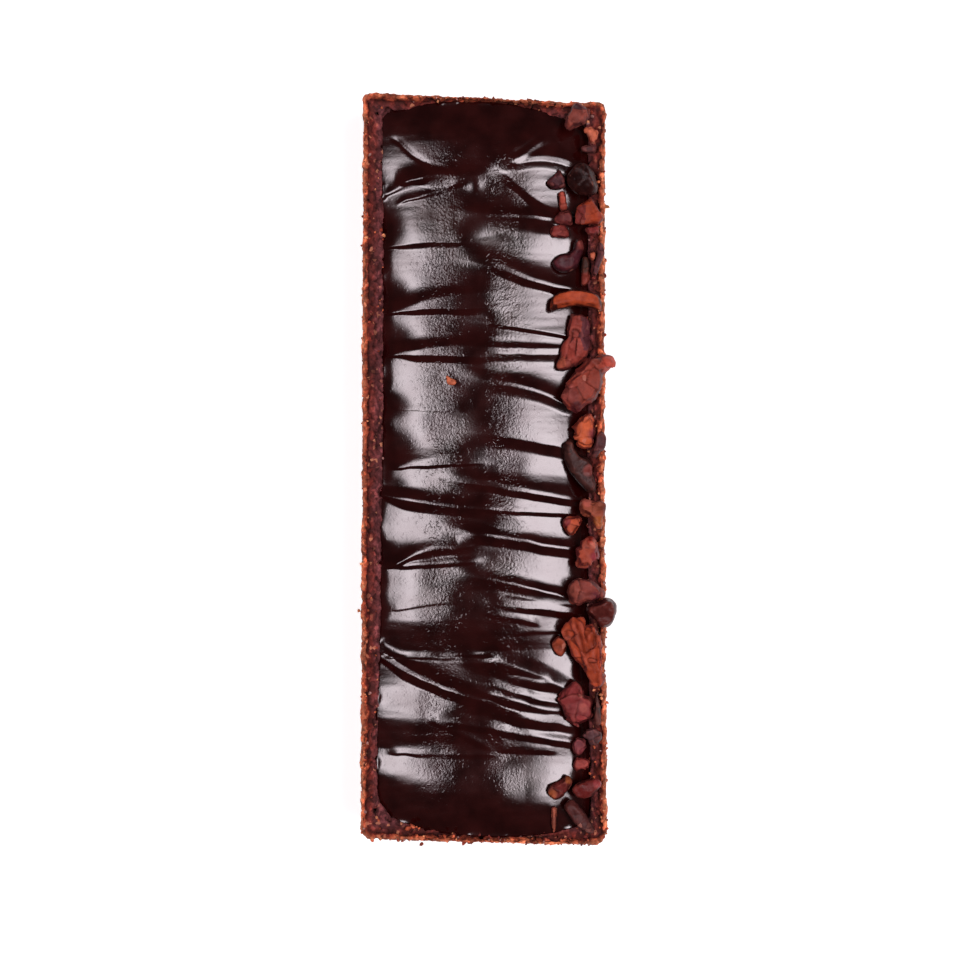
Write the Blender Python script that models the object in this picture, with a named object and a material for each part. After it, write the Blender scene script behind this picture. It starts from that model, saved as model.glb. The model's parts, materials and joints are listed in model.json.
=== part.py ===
"""Rectangular chocolate tart for one: a cocoa short-pastry case, a chocolate filling that was
spread with a palette knife, and a row of cocoa nibs along its right side.

The frame: the case stands on Z = 0, its centre over the origin, its length along Y and its
width along X. Sizes are in millimetres until a mesh is written, in metres.
"""
import math
from collections import namedtuple

import bmesh
import bpy
from mathutils import Vector, noise

MM = 0.001
GAP = 0.3                  # clearance between neighbouring solids

# Pastry case
CASE_LENGTH = 120.0
CASE_WIDTH = 39.0
CASE_HEIGHT = 20.0
BASE_THICKNESS = 3.0
FLOOR_WALL = 3.2           # wall thickness where it meets the floor
SHOULDER_Z = 16.4          # below this height the wall thickens towards the floor
FOOT_CHAMFER = 0.5
COVE = 1.2                 # height of the cove between the wall and the floor
RIM_FALL = 2.2             # the rim slopes this far down inwards, to the filling
RIM_WAVES = ((11.0, 0.33), (2.9, 0.20))   # the rim rises and falls: length and height of its waves
RIM_PEAK = 0.44            # the highest that the waves take it
FACE_WAVE = (5.0, 0.12)    # the outer face bulges: over this length, this far
CASE_STEPS = (4.0, 3.4)    # spacing of the mesh along the long and the short sides
CORNER_STEPS = (0.0, 1.0, 2.2, 4.0)       # closer together from each corner on

# Filling
FILL_CROWN = 19.5          # height along the middle
FILL_DOME = 1.8            # how much lower it lies at the long walls
FILL_END_DROP = 0.6        # how much lower it lies at the short walls
END_ZONE = 9.0             # length of the stretch that falls towards each short wall
FILL_STEPS = (1.5, 2.6)    # spacing of the mesh along the long and the short sides
CREST_RADIUS = 0.35        # a ridge's top is rounded
NIB_SHELF_X = 12.5         # ridges die out from here on, under the nibs
NIB_SHELF_WIDTH = 2.5

# A side of the case: how far its outer face lies from the centre, and its thickness at the rim.
# Each is a value at the middle of the side, with a bow (square) and a slant (linear) along it.
Side = namedtuple("Side", "reach bow slant wall wall_bow wall_slant")
SIDES = {
    "right": Side(CASE_WIDTH / 2 - 0.2, 0.25, -0.15, 2.6, 0.0, 0.0),
    "left": Side(CASE_WIDTH / 2, 0.0, -0.2, 3.2, -0.5, 0.35),
    "top": Side(CASE_LENGTH / 2 - 0.55, 0.0, -0.85, 0.9, 2.6, 0.3),
    "bottom": Side(CASE_LENGTH / 2 - 0.5, 0.0, 0.55, 1.1, 2.2, 0.0),
}
# Corner radii, outside and inside: (towards +X, towards +Y)
CORNERS = {
    (1, 1): (0.9, 1.6),
    (-1, 1): (0.8, 1.0),
    (1, -1): (2.6, 2.0),
    (-1, -1): (2.1, 4.8),
}

# A ridge that the palette knife left: a line from (x0, y0) to (x1, y1) with a bow, its height,
# and how far it takes to fall away towards +Y and towards -Y. A groove has a height below 0.
Ridge = namedtuple("Ridge", "x0 y0 x1 y1 bow height above below")
RIDGES = (
    # strokes on the left half
    Ridge(-13.9, 52.9, -9.3, 49.1, 0.0, -0.35, 0.9, 0.9),
    Ridge(-16.4, 44.0, -4.3, 46.9, 0.8, 0.75, 2.2, 0.9),
    Ridge(-15.3, 35.7, -4.9, 37.3, 0.3, 0.55, 1.5, 0.8),
    Ridge(-14.0, 25.5, -5.5, 28.0, 0.2, 0.50, 1.5, 0.8),
    Ridge(-14.5, 18.4, -4.9, 19.1, 0.0, 0.50, 1.3, 0.8),
    Ridge(-15.0, 9.2, -5.0, 9.6, 0.0, 0.18, 2.0, 1.6),
    Ridge(-13.4, 0.5, -4.9, 2.2, 0.0, 0.40, 1.4, 0.8),
    Ridge(-16.4, -3.8, -2.5, -6.1, -0.3, 0.60, 1.4, 0.8),
    Ridge(-13.4, -14.7, -4.9, -12.6, 0.6, 0.25, 1.0, 1.0),
    Ridge(-16.1, -15.6, -4.3, -14.7, 0.0, 0.45, 1.2, 0.8),
    Ridge(-14.0, -22.0, -5.0, -21.6, 0.0, 0.20, 2.0, 1.5),
    Ridge(-16.3, -29.7, -0.5, -29.1, 0.2, 0.40, 1.5, 1.0),
    Ridge(-16.4, -30.2, -0.3, -36.5, -0.8, 0.60, 1.5, 0.8),
    Ridge(-7.2, -38.7, -1.9, -43.3, 0.0, 0.25, 1.0, 1.0),
    Ridge(-16.7, -44.9, 0.5, -45.5, 0.2, 0.55, 1.4, 0.8),
    # strokes on the right half
    Ridge(4.3, 49.9, 11.8, 52.8, 0.6, 0.30, 0.9, 0.8),
    Ridge(6.9, 49.2, 14.5, 48.4, 1.0, 0.50, 1.2, 0.8),
    Ridge(4.8, 44.5, 9.2, 41.9, 0.0, 0.40, 1.0, 1.0),
    Ridge(1.8, 40.3, 11.5, 40.1, 0.0, 0.55, 1.4, 0.8),
    Ridge(2.9, 31.3, 13.5, 29.2, 0.0, 0.50, 1.4, 0.8),
    Ridge(4.1, 22.9, 12.5, 21.7, 0.0, 0.50, 1.2, 0.8),
    Ridge(3.7, 13.4, 12.0, 11.0, 0.3, 0.45, 1.2, 0.8),
    Ridge(4.3, 4.9, 12.0, 3.7, 0.0, 0.40, 1.2, 0.8),
    Ridge(3.7, 2.4, 13.4, -1.1, 0.4, 0.35, 0.9, 0.8),
    Ridge(1.1, -2.4, 14.0, -4.6, 0.2, 0.50, 1.2, 0.8),
    Ridge(1.9, -5.6, 14.2, -7.0, 0.0, 0.35, 0.9, 0.8),
    Ridge(-0.3, -10.7, 13.5, -12.7, 0.2, 0.50, 1.3, 0.8),
    Ridge(2.7, -18.0, 10.6, -19.9, 0.2, 0.40, 1.2, 0.8),
    Ridge(3.0, -23.1, 6.5, -24.0, 0.0, 0.20, 0.9, 0.8),
    Ridge(4.1, -31.2, 13.2, -34.6, 0.2, 0.45, 1.2, 0.8),
    Ridge(0.5, -37.3, 8.6, -39.8, 0.0, 0.40, 1.1, 0.8),
    Ridge(-0.6, -41.1, 13.5, -43.8, 0.1, 0.50, 1.2, 0.8),
)
RIDGE_FADE = 1.8           # a ridge dies out over this length past each end

# A nib: its height, how far its top leans towards +X and +Y, its colour, and the corners of its
# outline as seen from above, clockwise or not, in the case's own X and Y.
Nib = namedtuple("Nib", "height lean_x lean_y colour corners")
NIBS = (
    Nib(2.2, 0.0, 0.3, "red", (
        (14.7, 58.4), (14.0, 57.8), (13.8, 56.9), (13.1, 55.8), (12.9, 54.9), (13.6, 54.1),
        (14.9, 54.6), (16.0, 55.2), (16.7, 56.3), (16.5, 57.3))),
    Nib(1.1, 0.1, 0.0, "orange", (
        (16.2, 54.2), (17.0, 54.7), (17.9, 53.9), (18.0, 52.6), (17.6, 52.1), (16.9, 52.2), (16.7, 53.1))),
    Nib(1.0, 0.0, 0.0, "dark", (
        (15.6, 51.4), (16.6, 51.8), (17.8, 51.6), (17.6, 50.8), (16.6, 50.5), (15.7, 50.8))),
    Nib(1.5, 0.1, 0.1, "dark", (
        (12.2, 47.6), (11.2, 46.9), (10.2, 45.9), (10.7, 45.0), (12.0, 44.9), (12.9, 45.2), (12.8, 46.3))),
    Nib(1.2, 0.0, 0.0, "red", (
        (12.0, 44.5), (12.9, 44.5), (13.1, 43.0), (13.3, 41.7), (12.3, 41.5), (12.0, 43.0))),
    Nib(1.6, 0.2, 0.0, "dark", (
        (12.2, 41.2), (13.5, 41.2), (14.0, 40.3), (13.9, 39.2), (12.9, 39.3), (11.4, 39.4), (11.2, 40.1))),
    Nib(1.6, 0.0, 0.0, "red", (
        (11.1, 39.0), (12.7, 38.9), (13.3, 38.1), (13.6, 37.3), (12.9, 37.0), (10.9, 37.3), (10.8, 38.2))),
    Nib(2.0, 0.2, 0.3, "orange", (
        (17.0, 43.0), (17.6, 42.0), (18.4, 40.7), (19.0, 39.9), (18.2, 39.1), (16.2, 39.0),
        (14.5, 39.1), (14.5, 40.6), (14.9, 41.8), (15.8, 42.5))),
    Nib(1.3, 0.0, 0.0, "red", (
        (16.2, 38.6), (18.4, 38.7), (18.4, 38.0), (17.6, 37.4), (16.7, 37.5), (16.1, 38.0))),
    Nib(3.0, -0.2, 0.5, "dark", (
        (13.2, 46.5), (14.0, 47.9), (15.0, 48.8), (16.4, 48.7), (17.3, 47.6), (17.5, 46.3),
        (18.1, 44.8), (17.6, 43.8), (15.8, 43.7), (14.6, 44.1), (13.6, 45.3))),
    Nib(2.0, -0.1, 0.0, "dark", (
        (11.0, 33.3), (11.8, 34.2), (12.6, 34.5), (13.6, 34.4), (14.3, 35.0), (14.5, 36.2), (15.0, 36.7),
        (15.6, 36.4), (15.8, 35.5), (15.6, 34.6), (15.2, 33.6), (15.0, 32.6), (14.2, 31.9), (12.7, 31.6),
        (11.7, 32.0), (11.0, 32.8))),
    Nib(1.3, 0.0, 0.0, "dark", (
        (15.9, 34.1), (16.5, 34.0), (16.9, 33.0), (16.7, 31.5), (16.6, 30.1), (16.0, 29.4), (15.5, 29.7),
        (15.8, 31.2), (15.7, 32.6))),
    Nib(0.9, 0.0, 0.0, "orange", (
        (16.9, 34.6), (17.7, 34.8), (17.8, 34.2), (17.3, 33.4))),
    Nib(1.2, 0.1, 0.0, "dark", (
        (18.4, 36.0), (18.9, 35.4), (18.8, 34.0), (18.3, 32.4), (17.9, 30.9), (17.2, 31.2), (17.6, 32.8),
        (18.1, 34.2))),
    Nib(2.1, 0.0, 0.2, "orange", (
        (10.5, 25.6), (10.9, 27.5), (12.0, 28.2), (14.0, 28.6), (16.5, 28.4), (18.1, 27.9), (18.6, 26.8),
        (18.6, 25.5), (16.8, 26.0), (14.5, 26.3), (12.4, 25.9), (11.2, 25.3))),
    Nib(2.5, -0.1, 0.0, "red", (
        (13.7, 25.0), (15.6, 24.9), (16.6, 24.3), (17.0, 23.0), (17.1, 21.0), (16.7, 19.2), (15.9, 17.9),
        (14.7, 16.8), (13.3, 16.0), (11.6, 16.1), (11.6, 17.1), (12.3, 18.4), (12.8, 20.0), (13.4, 21.4),
        (13.5, 23.0))),
    Nib(3.6, 0.2, 0.2, "red", (
        (16.3, 17.8), (18.4, 18.2), (20.1, 17.9), (20.8, 16.9), (20.2, 15.8), (18.8, 15.2), (18.5, 12.9),
        (17.6, 11.1), (16.1, 10.5), (14.8, 8.9), (13.4, 9.7), (12.1, 11.7), (12.8, 13.3), (13.6, 14.6),
        (15.2, 16.2))),
    Nib(2.8, 0.2, 0.1, "orange", (
        (17.0, 9.1), (17.6, 8.2), (17.9, 6.4), (17.3, 5.0), (17.1, 3.8), (15.9, 3.4), (14.8, 3.9),
        (14.3, 6.1), (13.7, 6.9), (15.0, 7.6), (16.1, 8.8))),
    Nib(1.3, 0.0, 0.0, "dark", (
        (18.5, 5.9), (19.2, 5.2), (19.3, 3.7), (18.6, 2.8), (17.7, 2.0), (17.2, 2.3), (17.6, 3.8),
        (18.1, 5.2))),
    Nib(2.2, 0.3, 0.0, "dark", (
        (13.6, 4.8), (12.9, 4.4), (12.6, 3.2), (13.0, 1.2), (13.8, -0.5), (15.2, -2.2), (16.6, -3.6),
        (17.6, -3.6), (17.8, -2.2), (17.2, -0.3), (17.2, 0.8), (16.6, 1.8), (15.2, 2.3), (14.4, 3.5),
        (14.2, 4.6))),
    Nib(2.0, 0.0, 0.1, "red", (
        (15.4, -5.0), (15.9, -4.6), (17.2, -4.9), (18.6, -5.1), (19.3, -5.6), (19.0, -7.2), (18.6, -9.0),
        (18.0, -9.5), (17.6, -8.6), (17.0, -7.6), (15.7, -6.9), (15.3, -6.0))),
    Nib(1.8, 0.0, 0.0, "orange", (
        (12.7, -8.0), (13.6, -7.5), (15.3, -7.4), (15.7, -7.9), (15.4, -8.9), (14.6, -9.6), (13.8, -10.4),
        (13.2, -9.6), (12.6, -8.8))),
    Nib(2.8, -0.1, -0.1, "red", (
        (16.2, -10.8), (17.3, -10.5), (18.1, -11.2), (18.2, -12.4), (18.4, -13.6), (18.2, -14.4),
        (17.3, -14.6), (16.4, -15.5), (14.8, -15.3), (14.7, -13.8), (14.6, -12.5), (15.4, -12.1),
        (15.5, -11.3))),
    Nib(3.0, 0.2, 0.2, "red", (
        (12.9, -19.5), (13.5, -18.3), (14.9, -17.3), (16.8, -17.4), (18.2, -18.5), (19.0, -19.7),
        (18.2, -20.4), (17.1, -20.9), (16.0, -20.9), (15.0, -21.6), (13.8, -21.1))),
    Nib(3.3, 0.0, 0.0, "dark", (
        (18.6, -20.9), (19.5, -20.3), (20.4, -20.6), (21.0, -21.5), (21.0, -22.6), (20.6, -24.0),
        (19.8, -24.8), (18.8, -24.9), (17.8, -23.9), (16.6, -22.8), (16.3, -21.9), (17.2, -21.4))),
    Nib(1.9, 0.0, 0.2, "orange", (
        (11.2, -27.2), (11.8, -26.7), (12.8, -27.1), (13.3, -27.9), (13.0, -28.9), (12.4, -29.7),
        (11.5, -29.4), (11.0, -28.4))),
    Nib(3.2, 0.5, 0.2, "orange", (
        (13.0, -24.5), (13.9, -23.7), (14.8, -23.4), (15.6, -24.1), (15.9, -25.3), (16.2, -24.5),
        (17.2, -24.5), (17.7, -25.4), (18.4, -27.0), (18.7, -29.2), (18.9, -31.5), (18.8, -33.5),
        (18.5, -34.8), (17.6, -34.5), (16.6, -33.0), (15.5, -31.5), (14.6, -30.0), (13.8, -28.0),
        (13.1, -26.5))),
    Nib(2.5, 0.3, 0.0, "red", (
        (14.6, -33.9), (15.5, -34.5), (15.9, -36.0), (16.8, -36.3), (17.3, -36.8), (17.1, -37.9),
        (17.3, -39.0), (16.9, -39.7), (15.9, -40.3), (15.2, -41.0), (13.2, -39.9), (12.6, -37.6),
        (11.8, -36.3), (12.6, -35.2))),
    Nib(1.8, 0.0, 0.2, "dark", (
        (15.7, -42.2), (16.3, -41.5), (17.6, -41.2), (18.5, -41.8), (18.7, -42.8), (17.8, -43.8),
        (16.9, -43.9), (16.6, -42.8))),
    Nib(2.0, -0.1, 0.1, "red", (
        (14.2, -43.4), (14.8, -42.8), (15.6, -42.9), (16.2, -43.3), (16.4, -44.2), (15.8, -45.0),
        (15.0, -45.6), (14.3, -45.0))),
    Nib(1.5, 0.0, 0.1, "red", (
        (14.6, -46.3), (15.8, -46.0), (16.8, -46.5), (16.7, -47.5), (15.6, -47.6), (14.8, -48.0),
        (14.3, -47.3))),
    Nib(1.9, 0.0, 0.0, "dark", (
        (10.2, -50.9), (10.8, -50.2), (11.9, -49.8), (12.8, -49.2), (13.6, -49.1), (14.1, -49.7),
        (13.6, -50.7), (12.9, -51.5), (12.0, -52.3), (11.2, -52.5), (10.5, -51.9))),
    Nib(1.7, 0.1, 0.3, "red", (
        (14.2, -50.9), (14.9, -50.0), (16.2, -49.4), (17.4, -49.2), (18.5, -49.5), (18.7, -50.2),
        (18.1, -50.9), (17.0, -51.8), (15.9, -52.3), (14.9, -52.0))),
    Nib(1.5, -0.1, -0.1, "dark", (
        (12.8, -53.7), (13.3, -52.9), (14.1, -52.6), (14.9, -53.3), (15.9, -54.5), (16.8, -55.8),
        (17.5, -57.2), (17.2, -57.8), (15.4, -57.0), (14.3, -56.1), (13.6, -55.0))),
    Nib(0.7, 0.0, 0.0, "red", (
        (10.9, -53.9), (11.5, -54.0), (11.5, -56.0), (11.4, -57.9), (11.0, -58.0), (10.9, -56.0))),
    Nib(1.4, 0.0, 0.0, "dark", (
        (17.6, -35.4), (18.2, -35.3), (18.4, -37.5), (18.4, -40.2), (17.9, -40.6), (17.7, -38.5),
        (17.7, -36.6))),
    Nib(0.45, 0.0, 0.0, "orange", (
        (-6.0, 15.1), (-5.3, 14.7), (-4.5, 14.1), (-4.6, 13.7), (-5.4, 13.6), (-5.9, 13.9))),
)
# Up a nib: how far in from its outline it lies, in mean widths, and at which share of its height
NIB_FOOT = (0.24, 0.0)
NIB_WAIST = (0.0, 0.38)
NIB_BELT = (0.0, 0.465)
NIB_SHOULDER = (0.10, 0.72)
NIB_TOP = (0.26, 1.0)
NIB_UNEVEN = (1.8, 0.40)   # a break face is uneven: over this length, by this share of the height
NIB_SINK = 0.30            # how far a nib's rounded underside is pressed flat by what it lies on
WALL_SLOPE = 1.3           # the wall's inner face rises this fast towards the rim

COLOURS = {
    "crust": ((0.165, 0.050, 0.026, 1.0), 0.90),
    "ganache": ((0.022, 0.0045, 0.0045, 1.0), 0.20),
    "nib_orange": ((0.36, 0.080, 0.030, 1.0), 0.60),
    "nib_red": ((0.17, 0.038, 0.026, 1.0), 0.55),
    "nib_dark": ((0.065, 0.018, 0.018, 1.0), 0.50),
}


def smooth_step(value):
    """Ease a value from 0 to 1."""
    value = min(1.0, max(0.0, value))
    return value * value * (3.0 - 2.0 * value)


def make_material(name):
    colour, roughness = COLOURS[name]
    material = bpy.data.materials.new(name)
    material.use_nodes = True
    shader = material.node_tree.nodes["Principled BSDF"]
    shader.inputs["Base Color"].default_value = colour
    shader.inputs["Roughness"].default_value = roughness
    shader.inputs["Metallic"].default_value = 0.0
    material.diffuse_color = colour
    return material


def make_object(name, bm, material):
    """Write a bmesh in millimetres to a named object in metres."""
    bmesh.ops.recalc_face_normals(bm, faces=bm.faces)
    bmesh.ops.scale(bm, vec=(MM, MM, MM), verts=bm.verts)
    mesh = bpy.data.meshes.new(name)
    bm.to_mesh(mesh)
    bm.free()
    mesh.materials.append(material)
    obj = bpy.data.objects.new(name, mesh)
    bpy.context.scene.collection.objects.link(obj)
    return obj


# ---------------------------------------------------------------- plan of the case

def side_inset(name, along, depth, floor):
    """Distance from the centre to a side, at a depth into its wall (0 outer, 1 inner face)."""
    side = SIDES[name]
    outer = side.reach + side.bow * along * along + side.slant * along
    wall = side.wall + side.wall_bow * along * along + side.wall_slant * along
    wall += (FLOOR_WALL - wall) * floor
    return outer - depth * wall


def plan_point(u, v, depth, floor=0.0, gap=0.0):
    """Point of the plan at u across and v along, both 0 to 1, on the loop at the given depth."""
    across = 2.0 * u - 1.0
    along = 2.0 * v - 1.0
    right = side_inset("right", along, depth, floor) - gap
    left = side_inset("left", along, depth, floor) - gap
    top = side_inset("top", across, depth, floor) - gap
    bottom = side_inset("bottom", across, depth, floor) - gap
    x = -left + (right + left) * u
    y = -bottom + (top + bottom) * v
    for (toward_x, toward_y), (outside, inside) in CORNERS.items():
        radius = outside + (inside - outside) * min(1.0, depth)
        centre_x = toward_x * ((right if toward_x > 0 else left) - radius)
        centre_y = toward_y * ((top if toward_y > 0 else bottom) - radius)
        a = toward_x * (x - centre_x)
        b = toward_y * (y - centre_y)
        if a > 0.0 and b > 0.0:
            x = centre_x + toward_x * a * math.sqrt(1.0 - b * b / (2.0 * radius * radius))
            y = centre_y + toward_y * b * math.sqrt(1.0 - a * a / (2.0 * radius * radius))
    return x, y


def side_stations(length, step):
    """Places along a side, from 0 to 1, close together at its two corners."""
    corner = CORNER_STEPS[-1]
    middle = length - 2.0 * corner
    count = round(middle / step)
    places = list(CORNER_STEPS)
    places += [corner + middle * i / count for i in range(1, count)]
    places += [length - place for place in reversed(CORNER_STEPS)]
    return [place / length for place in places]


def loop_stations():
    """The (u, v) places once round the case, counter-clockwise from its lower left corner."""
    along = side_stations(CASE_LENGTH, CASE_STEPS[0])
    across = side_stations(CASE_WIDTH, CASE_STEPS[1])
    stations = [(u, 0.0) for u in across[:-1]]
    stations += [(1.0, v) for v in along[:-1]]
    stations += [(u, 1.0) for u in reversed(across[1:])]
    stations += [(0.0, v) for v in reversed(along[1:])]
    return stations


# ---------------------------------------------------------------- pastry case

def rim_height(x, y):
    """The rim's uneven top."""
    height = CASE_HEIGHT
    for number, (length, rise) in enumerate(RIM_WAVES):
        height += rise * noise.noise(Vector((x / length, y / length, 3.0 + 4.0 * number)))
    return height


def case_section(rim):
    """The case's section, as rings: depth into the wall, share of the floor's wall, height."""
    return (
        (0.16, 1.0, 0.0),                    # foot
        (0.0, 0.0, FOOT_CHAMFER),
        (0.0, 0.0, CASE_HEIGHT * 0.36),      # outer face
        (0.0, 0.0, CASE_HEIGHT * 0.70),
        (0.0, 0.0, rim - 0.7),
        (0.10, 0.0, rim - 0.10),             # rim
        (0.28, 0.0, rim),
        (0.42, 0.0, rim - 0.35),
        (1.0, 0.0, rim - RIM_FALL),          # inner face
        (1.0, 0.0, SHOULDER_Z),
        (1.0, 1.0, BASE_THICKNESS + COVE),
        (1.3, 1.0, BASE_THICKNESS),          # floor
    )


def case_point(u, v, index):
    """Point of the case's ring with that index, at a place round it."""
    x, y = plan_point(u, v, 0.0)
    depth, floor, z = case_section(rim_height(x, y))[index]
    point = Vector((*plan_point(u, v, depth, floor), z))
    if depth == 0.0:
        length, bulge = FACE_WAVE
        outward = Vector((point.x / CASE_WIDTH, point.y / CASE_LENGTH, 0.0)).normalized()
        point += outward * bulge * noise.noise(point / length)
    return point


def make_crust(material):
    """A pastry case: a floor and four walls in one piece, open at the top."""
    bm = bmesh.new()
    rings = []
    for index in range(len(case_section(CASE_HEIGHT))):
        verts = [bm.verts.new(case_point(u, v, index)) for u, v in loop_stations()]
        rings.append([bm.edges.new(pair) for pair in zip(verts, verts[1:] + verts[:1])])
    for lower, upper in zip(rings, rings[1:]):
        bmesh.ops.bridge_loops(bm, edges=lower + upper)
    bmesh.ops.edgeloop_fill(bm, edges=rings[0])
    bmesh.ops.edgeloop_fill(bm, edges=rings[-1])
    obj = make_object("crust", bm, material)
    obj.data.shade_smooth()
    obj.data.set_sharp_from_angle(angle=math.radians(40.0))


# ---------------------------------------------------------------- filling

def ridge_lift(ridge, x, y):
    """How much one ridge raises the filling at a place."""
    span = ridge.x1 - ridge.x0
    t = (x - ridge.x0) / span
    fade = smooth_step(1.0 + t * span / RIDGE_FADE) * smooth_step(1.0 + (1.0 - t) * span / RIDGE_FADE)
    if fade == 0.0:
        return 0.0
    on_line = min(1.0, max(0.0, t))
    crest = ridge.y0 + (ridge.y1 - ridge.y0) * t + 4.0 * ridge.bow * on_line * (1.0 - on_line)
    away = y - crest
    reach = ridge.above if away > 0.0 else ridge.below
    rounded = math.sqrt(away * away + CREST_RADIUS * CREST_RADIUS) - CREST_RADIUS
    return ridge.height * fade * math.exp(-rounded / reach)


def fill_height(x, y):
    """Height of the filling's top: a long dome that falls to the walls, with the ridges on it."""
    dome = FILL_DOME * (2.0 * x / (CASE_WIDTH - 6.0)) ** 2
    past_end = max(0.0, abs(y) - (CASE_LENGTH / 2 - END_ZONE)) / END_ZONE
    shelf = 1.0 - smooth_step((x - NIB_SHELF_X) / NIB_SHELF_WIDTH)
    lift = sum(ridge_lift(ridge, x, y) for ridge in RIDGES) * shelf
    return FILL_CROWN - dome - FILL_END_DROP * past_end * past_end + lift


def make_filling(material):
    """The filling fills the case: a ridged top, walls that follow the pastry and a flat underside."""
    bm = bmesh.new()
    along = side_stations(CASE_LENGTH, FILL_STEPS[0])
    across = side_stations(CASE_WIDTH, FILL_STEPS[1])
    bmesh.ops.create_grid(bm, x_segments=len(across) - 1, y_segments=len(along) - 1, size=1.0)
    place = {}
    for vert in bm.verts:
        u = across[round((vert.co.x + 1.0) / 2.0 * (len(across) - 1))]
        v = along[round((vert.co.y + 1.0) / 2.0 * (len(along) - 1))]
        place[vert] = (u, v)
        x, y = plan_point(u, v, 1.0, gap=GAP)
        vert.co = (x, y, fill_height(x, y))
    # from its border down the walls to the underside
    border = [edge for edge in bm.edges if edge.is_boundary]
    for depth, floor, z in ((1.0, 0.0, SHOULDER_Z), (1.3, 1.0, BASE_THICKNESS + GAP)):
        geom = bmesh.ops.extrude_edge_only(bm, edges=border)["geom"]
        border = [item for item in geom if isinstance(item, bmesh.types.BMEdge) and item.is_boundary]
        for vert in {vert for edge in border for vert in edge.verts}:
            above = next(edge.other_vert(vert) for edge in vert.link_edges if edge not in border)
            place[vert] = place[above]
            vert.co = (*plan_point(*place[vert], depth, floor, gap=GAP), z)
    bmesh.ops.edgeloop_fill(bm, edges=border)
    obj = make_object("filling", bm, material)
    obj.data.shade_smooth()
    obj.data.set_sharp_from_angle(angle=math.radians(50.0))


# ---------------------------------------------------------------- cocoa nibs

def inside_walls(x, y):
    """Distance to the nearest inner face of the case, below 0 over a wall."""
    along = 2.0 * y / CASE_LENGTH
    across = 2.0 * x / CASE_WIDTH
    to_side = side_inset("right" if x > 0.0 else "left", along, 1.0, 0.0) - abs(x)
    to_end = side_inset("top" if y > 0.0 else "bottom", across, 1.0, 0.0) - abs(y)
    radius = CORNERS[(1 if x > 0.0 else -1, 1 if y > 0.0 else -1)][1]
    if to_side < radius and to_end < radius:
        return radius - math.hypot(radius - to_side, radius - to_end)
    return min(to_side, to_end)


def support_height(x, y):
    """Lowest a nib can reach: the filling, and the sloping inside of the rim by the walls."""
    rim = CASE_HEIGHT + RIM_PEAK
    slope = rim - RIM_FALL - WALL_SLOPE * inside_walls(x, y)
    return max(fill_height(x, y), min(rim, slope)) + GAP


def mean_width(corners):
    """Twice the area over the perimeter: about the width of a long shape."""
    area = 0.0
    perimeter = 0.0
    for (ax, ay), (bx, by) in zip(corners, corners[1:] + corners[:1]):
        area += (ax * by - bx * ay) / 2.0
        perimeter += math.hypot(bx - ax, by - ay)
    return 2.0 * abs(area) / perimeter


def nib_shape(nib, seed):
    """A broken piece of cocoa bean: its outline at the waist, drawn in below and above."""
    bm = bmesh.new()
    under = bm.faces.new([bm.verts.new((x, y, 0.0)) for x, y in nib.corners])
    under.normal_update()
    if under.normal.z > 0.0:
        under.normal_flip()
    geom = bmesh.ops.extrude_face_region(bm, geom=[under], use_keep_orig=True)["geom"]
    top = next(item for item in geom if isinstance(item, bmesh.types.BMFace))
    top.normal_flip()
    width = mean_width(nib.corners)
    for face, rings in ((under, (NIB_WAIST, NIB_FOOT)), (top, (NIB_BELT, NIB_SHOULDER, NIB_TOP))):
        reached = 0.0
        for share_in, share_up in rings:
            if share_in > reached:
                step_in = (share_in - reached) * width
                bmesh.ops.inset_region(bm, faces=[face], thickness=step_in, use_even_offset=True)
                reached = share_in
            for vert in face.verts:
                vert.co.z = share_up * nib.height
    # the top's break face is uneven, and leans
    length, rise = NIB_UNEVEN
    for vert in top.verts:
        tip = noise.noise(Vector((vert.co.x / length, vert.co.y / length, 5.3 * seed)))
        vert.co += Vector((nib.lean_x, nib.lean_y, rise * nib.height * tip))
    bmesh.ops.triangulate(bm, faces=[top, under], ngon_method="BEAUTY")
    return bm


def make_nib(name, nib, seed, material):
    """A nib lies on the filling or leans on the rim, its underside pressed against them."""
    bm = nib_shape(nib, seed)
    low = [vert for vert in bm.verts if vert.co.z < 0.1 * nib.height]
    drop = max(support_height(vert.co.x, vert.co.y) for vert in low) - NIB_SINK
    for vert in bm.verts:
        vert.co.z = max(vert.co.z + drop, support_height(vert.co.x, vert.co.y))
    obj = make_object(name, bm, material)
    obj.data.shade_smooth()
    obj.data.set_sharp_from_angle(angle=math.radians(25.0))


def build():
    """Clear the scene and make the tart."""
    for obj in list(bpy.data.objects):
        bpy.data.objects.remove(obj, do_unlink=True)
    materials = {name: make_material(name) for name in COLOURS}
    make_crust(materials["crust"])
    make_filling(materials["ganache"])
    for number, nib in enumerate(NIBS, start=1):
        make_nib(f"nib_{number:02d}", nib, number, materials[f"nib_{nib.colour}"])


build()
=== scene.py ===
"""Rectangular chocolate tart for one, dressed: browned cocoa pastry, glossy ganache spread with a
palette knife, and roasted cocoa nibs along the right side.

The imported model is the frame. Shapes are worked out in millimetres and written in metres.
"""
import json
import math
import random
from collections import namedtuple

import bmesh
import bpy
from mathutils import Euler, Matrix, Vector, noise
from mathutils.bvhtree import BVHTree


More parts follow.
